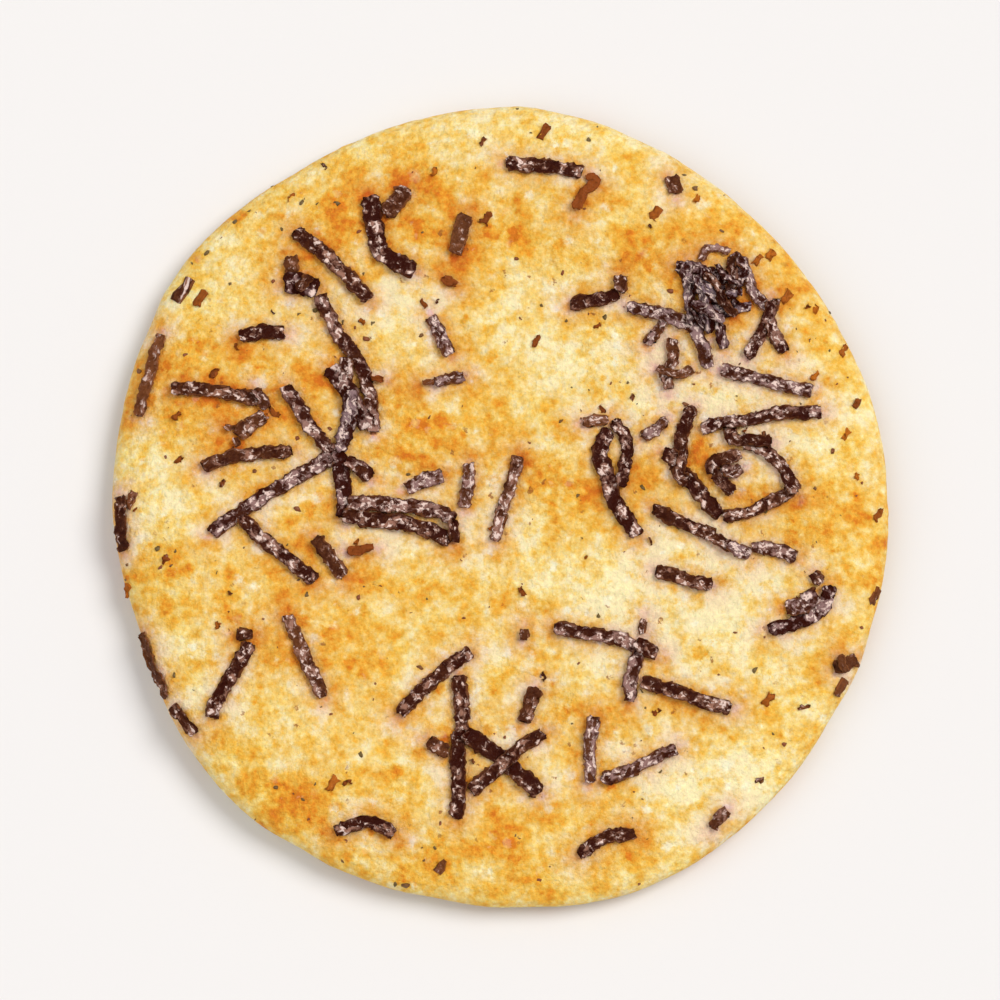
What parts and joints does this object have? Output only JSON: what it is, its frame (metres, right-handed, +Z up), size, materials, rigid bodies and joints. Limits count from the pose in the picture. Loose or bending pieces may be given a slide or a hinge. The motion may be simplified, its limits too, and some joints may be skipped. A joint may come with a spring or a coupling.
{
  "type": "rice cracker with shredded seaweed",
  "caption": "Round, thin, golden baked rice cracker with a blistered toasted face, a rounded edge and scattered seaweed shreds; lies flat.",
  "frame": {"origin": "centre of the cracker's bounding box, on the plane it lies on, at the level middle of its underside", "axes": "+Z up out of the toasted face; +Y along the slightly longer way across, as seen from above; +X to the right"},
  "size_m": [0.0804, 0.0848, 0.0059],
  "materials": {
    "crust": "satin",
    "seaweed": "satin"
  },
  "bodies": {
    "root": {"rice_cracker": "crust"}
  },
  "joints": []
}
